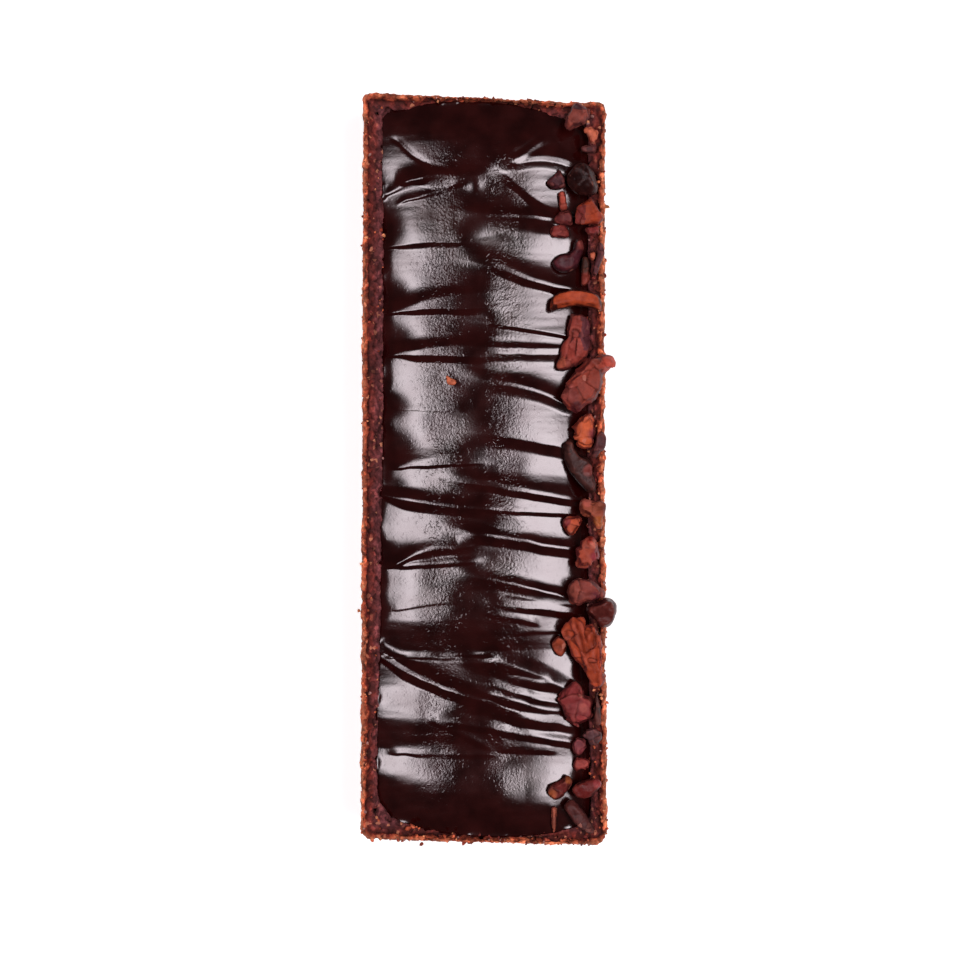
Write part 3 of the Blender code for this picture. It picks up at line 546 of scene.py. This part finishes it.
# the body under the top: straight down past the rim, then drawn in to the case's floor
for sink, spread in ((case_high.z - 4.0, (1.0, 1.0)), (3.3, (0.88, 0.935))):
    border = [edge for edge in ganache.edges if edge.is_boundary]
    lower = bmesh.ops.extrude_edge_only(ganache, edges=border)["geom"]
    lower_verts = [item for item in lower if isinstance(item, bmesh.types.BMVert)]
    bmesh.ops.scale(ganache, vec=(*spread, 1.0), verts=lower_verts)
    for vert in lower_verts:
        vert.co.z = sink
border = [edge for edge in ganache.edges if edge.is_boundary]
bmesh.ops.holes_fill(ganache, edges=border)
bmesh.ops.recalc_face_normals(ganache, faces=ganache.faces)
make_piece("ganache_filling", ganache, ganache_material(), "ganache", "filling")


# ------------------------------------------------------------------------- cocoa nibs
# Roasted cocoa beans, cracked and winnowed: waxy broken pieces, orange-brown where they are
# freshly broken and plum where the seed skin still shows; their steep sides take the skin colour,
# partly as painted shade. They were pressed into the soft ganache.

NIB_GRAIN = 0.26             # longest edge of a nib's mesh
# smoothing passes that soften its broken edges
NIB_ROUNDING = {"plain": 3, "lumps": 3, "cracks": 3, "grooves": 3, "smooth": 8, "round": 20}
NIB_LUMPS = ((1.9, 0.13), (0.75, 0.05), (0.35, 0.02))   # uneven break faces: size, height
FACET_SHARE = 0.42           # a broken facet's size as a share of the nib's length
FACET_SIZES = (1.1, 2.6)     # smallest and largest facet
FACET_TILT = 0.45            # how much the facets lean against each other
RIFT = (0.06, 0.016)         # the crack between two facets: its half width and depth
NIB_SWELL = 0.08             # a nib stands out a little over its cut shape
NIB_SETTLE = 0.45            # how far its underside sinks into the ganache below it
GROOVE_PITCH = 1.5          # the grooves of a half bean
GROOVE_DEPTH = 0.20
CRACK_SIZE = 1.6
CRACK_DEPTH = 0.07

EDGE_BULGE = 0.045            # an edge this sharp gets the full painted highlight, a hollow this deep the full painted shade
EDGE_HIGHLIGHT_TONE = (176, 96, 82)    # convex edges are painted paler, as a highlight

# A nib's looks: the colour of its flesh, that of its skin, which its steep sides also take as
# painted shade, the chips broken off it, coloured spots, and its relief. A chip is (azimuth, tilt,
# how far out, colour), a spot is (across, along, radius, colour) from the nib's middle.
NibLook = namedtuple("NibLook", "flesh skin chips spots relief gloss")


def mesh_box(mesh):
    """The low and high corner of a mesh."""
    places = [vert.co for vert in mesh.verts]
    low = Vector([min(place[axis] for place in places) for axis in range(3)])
    return low, Vector([max(place[axis] for place in places) for axis in range(3)])


def nib_look(flesh, skin, chips=(), spots=(), relief="plain", gloss=0.5):
    return NibLook(flesh, skin, chips, spots, relief, gloss)


NIB_LOOKS = (
    nib_look((128, 62, 52), (84, 36, 36), chips=((80, 38, 0.10, (70, 30, 35)), (250, 30, 0.5, (135, 70, 58)))),
    nib_look((205, 110, 80), (150, 60, 42), chips=((200, 35, 0.3, (170, 75, 55)),)),
    nib_look((85, 48, 50), (55, 28, 30)),
    # nib 4: its upper chip is painted darker, as shadow
    nib_look((72, 34, 40), (45, 20, 22), chips=((100, 35, 0.2, (55, 28, 32)),)),
    nib_look((165, 72, 56), (120, 45, 38)),
    nib_look((95, 38, 38), (70, 25, 26), chips=((180, 45, 0.5, (165, 75, 55)),)),
    nib_look((125, 50, 45), (90, 32, 32), chips=((0, 30, 0.4, (100, 38, 40)),)),
    nib_look((160, 62, 34), (120, 42, 30), chips=((195, 30, -0.05, (116, 44, 40)), (330, 25, 0.5, (150, 52, 30)))),
    nib_look((130, 47, 47), (95, 30, 32), chips=((270, 30, 0.3, (118, 40, 42)),)),
    nib_look((34, 11, 10), (42, 16, 16), chips=((262, 40, 0.35, (104, 44, 48)),), relief="round", gloss=0.35),
    nib_look((70, 28, 36), (54, 22, 28), chips=((215, 30, 0.45, (80, 34, 44)),),
             spots=((1.9, 1.9, 0.9, (130, 60, 55)),), relief="smooth", gloss=0.35),
    nib_look((60, 35, 26), (45, 22, 18), spots=((0.0, -1.6, 1.6, (130, 52, 42)),)),
    nib_look((190, 100, 70), (150, 65, 45)),
    nib_look((85, 45, 50), (60, 28, 32)),
    # nib 15: the chip on its lower side is painted near-black, as the shadow on that steep side
    nib_look((170, 70, 38), (70, 24, 16), chips=((268, 64, 0.42, (58, 20, 13)), (92, 45, 0.7, (186, 88, 62))),
             relief="smooth"),
    nib_look((142, 60, 50), (95, 40, 40), chips=((180, 38, 0.35, (186, 92, 70)), (0, 42, 0.3, (98, 50, 56))),
             relief="cracks"),
    nib_look((138, 58, 44), (100, 36, 34), relief="lumps",
             spots=((3.4, 2.6, 1.5, (178, 72, 55)), (-3.2, -2.2, 1.6, (152, 72, 64)), (-2.0, -4.5, 1.2, (90, 32, 36)))),
    nib_look((200, 95, 58), (150, 62, 48), relief="lumps", spots=((1.6, -0.6, 1.2, (135, 58, 62)),)),
    nib_look((85, 48, 50), (60, 30, 32)),
    nib_look((62, 36, 33), (40, 21, 20), spots=((1.4, -1.0, 0.9, (130, 62, 56)),), relief="smooth", gloss=0.35),
    nib_look((150, 75, 52), (112, 48, 40), spots=((1.0, -1.4, 1.0, (170, 95, 50)), (-1.0, 1.4, 0.8, (185, 95, 80)))),
    nib_look((182, 82, 52), (125, 45, 38), relief="lumps", spots=((-1.0, 0.4, 0.8, (140, 50, 52)),)),
    nib_look((162, 72, 52), (125, 48, 50), relief="lumps",
             spots=((1.4, -0.8, 1.1, (135, 48, 55)), (0.9, 1.3, 0.7, (205, 115, 95)), (0.2, 2.2, 0.9, (150, 50, 38)))),
    nib_look((120, 56, 48), (85, 36, 34), relief="lumps", spots=((-1.6, 0.6, 1.1, (135, 66, 54)), (1.6, -0.6, 1.0, (92, 36, 42)))),
    nib_look((80, 32, 28), (58, 20, 22), relief="smooth", gloss=0.3),
    nib_look((152, 66, 42), (96, 34, 24), relief="lumps"),
    nib_look((166, 68, 40), (130, 52, 46), chips=((205, 48, 0.20, (142, 60, 54)),), relief="grooves"),
    nib_look((130, 50, 50), (85, 32, 34), relief="lumps", spots=((0.6, -0.4, 0.8, (165, 80, 72)),)),
    nib_look((90, 60, 62), (60, 32, 36)),
    nib_look((120, 55, 60), (85, 34, 38)),
    nib_look((165, 72, 66), (120, 40, 42), relief="lumps"),
    nib_look((105, 40, 38), (70, 26, 24), relief="lumps",
             spots=((-1.3, -1.0, 0.8, (155, 78, 42)), (1.3, 1.3, 0.6, (160, 85, 42)))),
    nib_look((98, 30, 28), (62, 20, 19), spots=((1.6, 0.8, 0.9, (140, 52, 54)),), relief="smooth", gloss=0.35),
    nib_look((76, 36, 34), (58, 26, 27), relief="smooth", gloss=0.4),
    nib_look((150, 80, 60), (110, 50, 45)),
    nib_look((70, 45, 42), (45, 26, 24)),
    nib_look((225, 125, 85), (170, 80, 60)),
)


def break_chip(nib, facet_layer, number, azimuth, tilt, out):
    """Break a flat chip off a nib's top, on the side that the azimuth points to."""
    low = Vector([min(vert.co[i] for vert in nib.verts) for i in range(3)])
    high = Vector([max(vert.co[i] for vert in nib.verts) for i in range(3)])
    middle = (low + high) / 2.0
    toward = Vector((math.cos(math.radians(azimuth)), math.sin(math.radians(azimuth)), 0.0))
    reach = max((vert.co - middle).dot(toward) for vert in nib.verts)
    start = middle + toward * reach * out
    start.z = high.z
    slope = math.radians(tilt)
    cut = bmesh.ops.bisect_plane(
        nib, geom=nib.verts[:] + nib.edges[:] + nib.faces[:], plane_co=start,
        plane_no=toward * math.sin(slope) + Vector((0.0, 0.0, math.cos(slope))), clear_outer=True)
    rim = [item for item in cut["geom_cut"] if isinstance(item, bmesh.types.BMEdge)]
    for face in bmesh.ops.holes_fill(nib, edges=rim)["faces"]:
        face[facet_layer] = number


def nib_facet(place, size):
    """The broken facet at a place of a nib: its height, its own random value, how near its edge."""
    distances, points = noise.voronoi(place / size)
    lean = noise.noise_vector(points[0] * 5.0)
    rift = math.exp(-((distances[1] - distances[0]) / RIFT[0]) ** 2)
    height = FACET_TILT * size * lean.dot(place / size - points[0]) - RIFT[1] * rift
    return height, noise.noise(points[0] * 9.0 + Vector((4.0, 1.0, 7.0))), rift


def nib_relief(kind, place, toward):
    """Height of a nib's surface relief at a place; toward is the nib's long axis."""
    height = 0.0
    gain = 1.7 if kind == "lumps" else 1.0
    for size, rise in NIB_LUMPS:
        height += gain * rise * noise.noise(place / size)
    if kind == "grooves":
        aside = place.x * toward.y - place.y * toward.x
        aside += 0.35 * noise.noise(place / 2.2)
        height += GROOVE_DEPTH * math.cos(2.0 * math.pi * aside / GROOVE_PITCH)
    if kind == "cracks":
        distances, _ = noise.voronoi(place / CRACK_SIZE)
        gap = distances[1] - distances[0]
        height -= CRACK_DEPTH * math.exp(-(gap / 0.10) ** 2)
    return height


def nib_material(name, gloss):
    material, tree, shader = new_material(name)
    place = add_node(tree, "ShaderNodeTexCoord").outputs["Object"]
    tint = add_node(tree, "ShaderNodeAttribute", attribute_name="tint").outputs["Color"]
    mottle = add_node(tree, "ShaderNodeTexNoise",
                      {"Vector": place, "Scale": 850.0, "Detail": 4.0, "Roughness": 0.6}).outputs["Fac"]
    shade = add_ramp(tree, mottle, ((0.30, (0.72, 0.62, 0.62, 1.0)), (0.5, 1.0), (0.72, (1.28, 1.30, 1.28, 1.0))))
    colour = add_mix(tree, 1.0, tint, shade, "MULTIPLY")
    # pale flecks: dust, and painted glints
    fleck = add_node(tree, "ShaderNodeTexVoronoi", {"Vector": place, "Scale": 1500.0})
    dust_and_glints = add_ramp(tree, fleck.outputs["Color"], ((0.88, 0.0), (0.94, 0.4)))
    colour = add_mix(tree, dust_and_glints, colour, tone(210, 140, 120))
    tree.links.new(colour, shader.inputs["Base Color"])
    fine = add_node(tree, "ShaderNodeTexNoise", {"Vector": place, "Scale": 2400.0, "Detail": 3.0})
    bump = add_node(tree, "ShaderNodeBump",
                    {"Height": fine.outputs["Fac"], "Strength": 0.6, "Distance": 0.00016})
    tree.links.new(bump.outputs["Normal"], shader.inputs["Normal"])
    rough = add_node(tree, "ShaderNodeMapRange",
                     {"Value": mottle, "To Min": gloss - 0.12, "To Max": gloss + 0.16})
    tree.links.new(rough.outputs["Result"], shader.inputs["Roughness"])
    shader.inputs["Specular IOR Level"].default_value = 0.17
    return material


nib_materials = {}
nib_slots = {material["slot"] for material in frame["record"]["materials"]}
for name, look in zip(nib_names, NIB_LOOKS):
    nib = cad_copy(name)
    facet_layer = nib.faces.layers.int.new("facet")
    middle = sum((vert.co for vert in nib.verts), Vector()) / len(nib.verts)
    far = max(nib.verts, key=lambda vert: (vert.co - middle).xy.length).co
    toward = Vector(((far - middle).x, (far - middle).y, 0.0)).normalized()
    for number, (azimuth, tilt, out, _) in enumerate(look.chips, start=1):
        break_chip(nib, facet_layer, number, azimuth, tilt, out)
    bmesh.ops.triangulate(nib, faces=nib.faces)
    refine(nib, lambda place: NIB_GRAIN)
    cut_low, cut_high = mesh_box(nib)
    for _ in range(NIB_ROUNDING[look.relief]):
        bmesh.ops.smooth_vert(nib, verts=nib.verts, factor=0.5, use_axis_x=True, use_axis_y=True, use_axis_z=True)
    # the smoothing shrinks it, so it is stretched back to the box it had
    low, high = mesh_box(nib)
    for vert in nib.verts:
        for axis in range(3):
            share = (vert.co[axis] - low[axis]) / (high[axis] - low[axis])
            vert.co[axis] = cut_low[axis] + (cut_high[axis] - cut_low[axis]) * share
    nib.normal_update()
    lowest = min(vert.co.z for vert in nib.verts)
    highest = max(vert.co.z for vert in nib.verts)
    length = max((vert.co - middle).xy.length for vert in nib.verts) * 2.0
    facet_size = min(FACET_SIZES[1], max(FACET_SIZES[0], FACET_SHARE * length))
    shift_layer = nib.verts.layers.float.new("facet_tone")
    crack_shade_layer = nib.verts.layers.float.new("rift")
    for vert in nib.verts:
        above = smooth_step((vert.co.z - lowest) / (0.5 * (highest - lowest)))
        facet_height, vert[shift_layer], vert[crack_shade_layer] = nib_facet(vert.co, facet_size)
        if look.relief in ("smooth", "round"):
            facet_height *= 0.2
            vert[shift_layer] *= 0.3
            vert[crack_shade_layer] *= 0.2
        relief = facet_height + nib_relief(look.relief, vert.co, toward)
        vert.co += vert.normal * (NIB_SWELL + relief * (0.3 + 0.7 * above))
        vert.co.z -= NIB_SETTLE * (1.0 - above)
    bmesh.ops.smooth_vert(nib, verts=nib.verts, factor=0.4, use_axis_x=True, use_axis_y=True, use_axis_z=True)
    nib.normal_update()
    bulge_layer = nib.verts.layers.float.new("bulge")
    for vert in nib.verts:
        around = sum((edge.other_vert(vert).co for edge in vert.link_edges), Vector()) / len(vert.link_edges)
        vert[bulge_layer] = (vert.co - around).dot(vert.normal) / EDGE_BULGE
    tint_layer = nib.loops.layers.float_color.new("tint")
    for face in nib.faces:
        for loop in face.loops:
            place = loop.vert.co
            patch = noise.noise(place / 1.3 + Vector((3.0, 8.0, 1.0)))
            # tops take the flesh colour and steep sides the skin colour: partly the seed skin, partly painted shade on
            # the sides
            upward = smooth_step((loop.vert.normal.z - 0.35 + 0.25 * patch) / 0.35)
            colour = Vector(tone(*look.skin)).lerp(Vector(tone(*look.flesh)), upward)
            if face[facet_layer]:
                colour = Vector(tone(*look.chips[face[facet_layer] - 1][3]))
            for across, along, radius, spot in look.spots:
                away = math.hypot(place.x - middle.x - across, place.y - middle.y - along)
                share = 1.0 - smooth_step((away / radius - 0.6 + 0.35 * patch) / 0.6)
                colour = colour.lerp(Vector(tone(*spot)), share)
            # random tone by patch and facet, and painted shade along the cracks between facets
            colour = colour * (1.0 + 0.25 * patch + 0.5 * loop.vert[shift_layer]) * (1.0 - 0.12 * loop.vert[crack_shade_layer])
            bulge = loop.vert[bulge_layer]
            # painted highlight on convex edges and painted shade in hollows
            colour = colour.lerp(Vector(tone(*EDGE_HIGHLIGHT_TONE)), 0.22 * smooth_step(bulge)) * (1.0 - 0.4 * smooth_step(-bulge))
            loop[tint_layer] = colour
    if look.gloss not in nib_materials:
        nib_materials[look.gloss] = nib_material(f"cocoa_nib_{round(100 * look.gloss)}", look.gloss)
    red, green, blue, _ = tone(*look.flesh)
    slot = "nib_orange" if red > 0.17 else "nib_red" if red > 0.09 else "nib_dark"
    make_piece(f"cocoa_{name}", nib, nib_materials[look.gloss], slot, name)


# ------------------------------------------------------------------------- loose crumbs
# Crumbs of the browned pastry that broke off when the case was trimmed and stuck where they fell:
# along the rim, most of them on the bottom wall, and a few larger ones at the outer edge.

CRUMB_COUNT = 520
CRUMB_REACH = (0.13, 0.36)   # half widths of the small ones
CRUMB_OUT = 0.25             # how far its middle stands off the pastry, as a share of its half width
CRUMB_UNEVEN = 0.45
CRUMB_TONES = ((232, 150, 104), (214, 108, 70), (150, 62, 44), (118, 48, 42), (176, 128, 120))
BOTTOM_SHARE = 4.0           # crumbs lie this much denser on the bottom wall
RIGHT_SHARE = 1.6            # and this much on the right one
# single crumbs: across, along, below the rim, half width, tone
SINGLE_CRUMBS = (
    (19.7, 42.1, 1.2, 0.42, (176, 118, 70)), (-20.0, -22.5, 1.0, 0.36, (196, 118, 74)),
    (-10.0, -59.8, 1.2, 0.34, (150, 72, 52)), (-19.0, 59.0, 0.9, 0.42, (206, 120, 78)),
    (18.2, 45.9, 0.1, 0.42, (206, 112, 70)), (18.1, 45.2, 0.1, 0.36, (196, 104, 62)),
    (-12.0, -57.2, 0.6, 0.50, (196, 92, 60)), (-11.2, -56.9, 0.7, 0.42, (206, 104, 70)),
    (-6.3, -58.4, 0.2, 0.38, (190, 84, 52)), (-4.8, -58.4, 0.2, 0.36, (202, 100, 66)))

crumb_luck = random.Random(11)
weights = []
for place, _ in rim_places:
    weight = BOTTOM_SHARE if place.y < case_low.y + 3.5 else RIGHT_SHARE if place.x > case_high.x - 3.5 else 1.0
    weights.append(weight)
crumb_spots = []
for place, normal in crumb_luck.choices(rim_places, weights, k=CRUMB_COUNT):
    reach = crumb_luck.uniform(*CRUMB_REACH)
    crumb_spots.append((place + normal * reach * CRUMB_OUT, reach, crumb_luck.choice(CRUMB_TONES)))
for x, y, below, reach, colour in SINGLE_CRUMBS:
    crumb_spots.append((Vector((x, y, case_high.z - below)), reach, colour))
crumbs = bmesh.new()
crumb_tint = crumbs.verts.layers.float_color.new("tint")
for place, reach, colour in crumb_spots:
    turn = Euler([crumb_luck.uniform(0.0, math.tau) for _ in range(3)]).to_matrix().to_4x4()
    squash = Matrix.Diagonal((1.0, crumb_luck.uniform(0.6, 1.0), crumb_luck.uniform(0.5, 0.9), 1.0))
    made = bmesh.ops.create_icosphere(crumbs, subdivisions=1, radius=reach,
                                      matrix=Matrix.Translation(place) @ turn @ squash)["verts"]
    shade = Vector(tone(*colour)) * crumb_luck.uniform(0.7, 1.2)
    for vert in made:
        uneven = noise.noise(vert.co * 2.3)
        vert.co += (vert.co - place) * CRUMB_UNEVEN * 2.0 * uneven
        vert[crumb_tint] = shade * (1.0 + 0.6 * uneven)
crumb_material, crumb_tree, crumb_shader = new_material("browned_crumbs")
crumb_place = add_node(crumb_tree, "ShaderNodeTexCoord").outputs["Object"]
crumb_colour = add_node(crumb_tree, "ShaderNodeAttribute", attribute_name="tint").outputs["Color"]
crumb_grain = add_node(crumb_tree, "ShaderNodeTexNoise",
                       {"Vector": crumb_place, "Scale": 2600.0, "Detail": 3.0}).outputs["Fac"]
crumb_shade = add_ramp(crumb_tree, crumb_grain, ((0.3, 0.6), (0.7, 1.4)))
crumb_tree.links.new(add_mix(crumb_tree, 1.0, crumb_colour, crumb_shade, "MULTIPLY"), crumb_shader.inputs["Base Color"])
crumb_bump = add_node(crumb_tree, "ShaderNodeBump", {"Height": crumb_grain, "Strength": 0.6, "Distance": 0.0001})
crumb_tree.links.new(crumb_bump.outputs["Normal"], crumb_shader.inputs["Normal"])
crumb_shader.inputs["Roughness"].default_value = 0.7
crumb_shader.inputs["Specular IOR Level"].default_value = 0.3
make_piece("pastry_crumbs", crumbs, crumb_material, "crust")


# ------------------------------------------------------------------------- table, lights, camera
# A white sweep, two softboxes side by side overhead, left and right of the camera, and a camera
# that looks straight down on the tart.

TABLE_SIZE = 3.0
BOX_HEIGHT = 0.80
BOX_LENGTH = 0.54
BOX_END_FADE = 0.19          # their light fades over this length towards both ends
# each softbox: where its near edge and its far edge lie across, and how wide it fades at each
Softbox = namedtuple("Softbox", "name near far near_fade far_fade")
SOFTBOXES = (Softbox("left", -0.165, -0.430, 0.12, 0.15), Softbox("right", 0.085, 0.440, 0.12, 0.15))
BOX_GLOW = 17.5              # radiance of a softbox, in watts per steradian and square metre
BOX_TINT = (1.0, 0.88, 0.93, 1.0)
CAMERA_RISE = 0.425          # camera above the rim
CAMERA_ASIDE = (-0.00064, -0.0016)

table_material, table_tree, table_shader = new_material("white_sweep")
table_shader.inputs["Base Color"].default_value = (0.82, 0.82, 0.82, 1.0)
table_shader.inputs["Roughness"].default_value = 0.9
table_shader.inputs["Emission Color"].default_value = (1.0, 1.0, 1.0, 1.0)
table_shader.inputs["Emission Strength"].default_value = 0.70
table = bmesh.new()
bmesh.ops.create_grid(table, x_segments=2, y_segments=2, size=TABLE_SIZE / 2.0)
table_mesh = bpy.data.meshes.new("table")
table.to_mesh(table_mesh)
table.free()
table_mesh.materials.append(table_material)
table_piece = bpy.data.objects.new("table", table_mesh)
bpy.context.scene.collection.objects.link(table_piece)

for box in SOFTBOXES:
    softbox = bpy.data.lights.new(f"softbox_{box.name}", "AREA")
    softbox.shape = "RECTANGLE"
    softbox.size = abs(box.far - box.near)
    softbox.size_y = BOX_LENGTH
    softbox.energy = BOX_GLOW * math.pi * softbox.size * softbox.size_y
    softbox.use_nodes = True
    light_tree = softbox.node_tree
    glow = light_tree.nodes["Emission"]
    glow.inputs["Color"].default_value = BOX_TINT
    # the light fades smoothly towards all four edges
    face_place = add_node(light_tree, "ShaderNodeNewGeometry").outputs["Parametric"]
    along_face = add_node(light_tree, "ShaderNodeSeparateXYZ", {"Vector": face_place})
    left_fade, right_fade = (box.far_fade, box.near_fade) if box.far < 0.0 else (box.near_fade, box.far_fade)
    strength = None
    for axis, edge, fade in (("X", 0.0, left_fade / softbox.size), ("X", 1.0, -right_fade / softbox.size),
                             ("Y", 0.0, BOX_END_FADE / BOX_LENGTH), ("Y", 1.0, -BOX_END_FADE / BOX_LENGTH)):
        share = add_node(light_tree, "ShaderNodeMapRange",
                         {"Value": along_face.outputs[axis], "From Min": edge, "From Max": edge + fade},
                         interpolation_type="SMOOTHSTEP").outputs["Result"]
        if strength is not None:
            share = add_node(light_tree, "ShaderNodeMath", {0: strength, 1: share}, operation="MULTIPLY").outputs[0]
        strength = share
    light_tree.links.new(strength, glow.inputs["Strength"])
    holder = bpy.data.objects.new(f"softbox_{box.name}", softbox)
    holder.location = ((box.near + box.far) / 2.0, 0.0, BOX_HEIGHT)
    bpy.context.scene.collection.objects.link(holder)

world = bpy.data.worlds.new("studio")
world.use_nodes = True
world.node_tree.nodes["Background"].inputs["Color"].default_value = (1.0, 0.98, 0.97, 1.0)
world.node_tree.nodes["Background"].inputs["Strength"].default_value = 0.06
bpy.context.scene.world = world

camera_data = bpy.data.cameras.new("camera")
camera_data.lens = 100.0
camera_data.sensor_width = 36.0
camera_data.clip_start = 0.01
camera = bpy.data.objects.new("camera", camera_data)
camera.location = (*CAMERA_ASIDE, case_high.z * MM + CAMERA_RISE)
bpy.context.scene.collection.objects.link(camera)
bpy.context.scene.camera = camera
bpy.context.scene.view_settings.view_transform = "Standard"
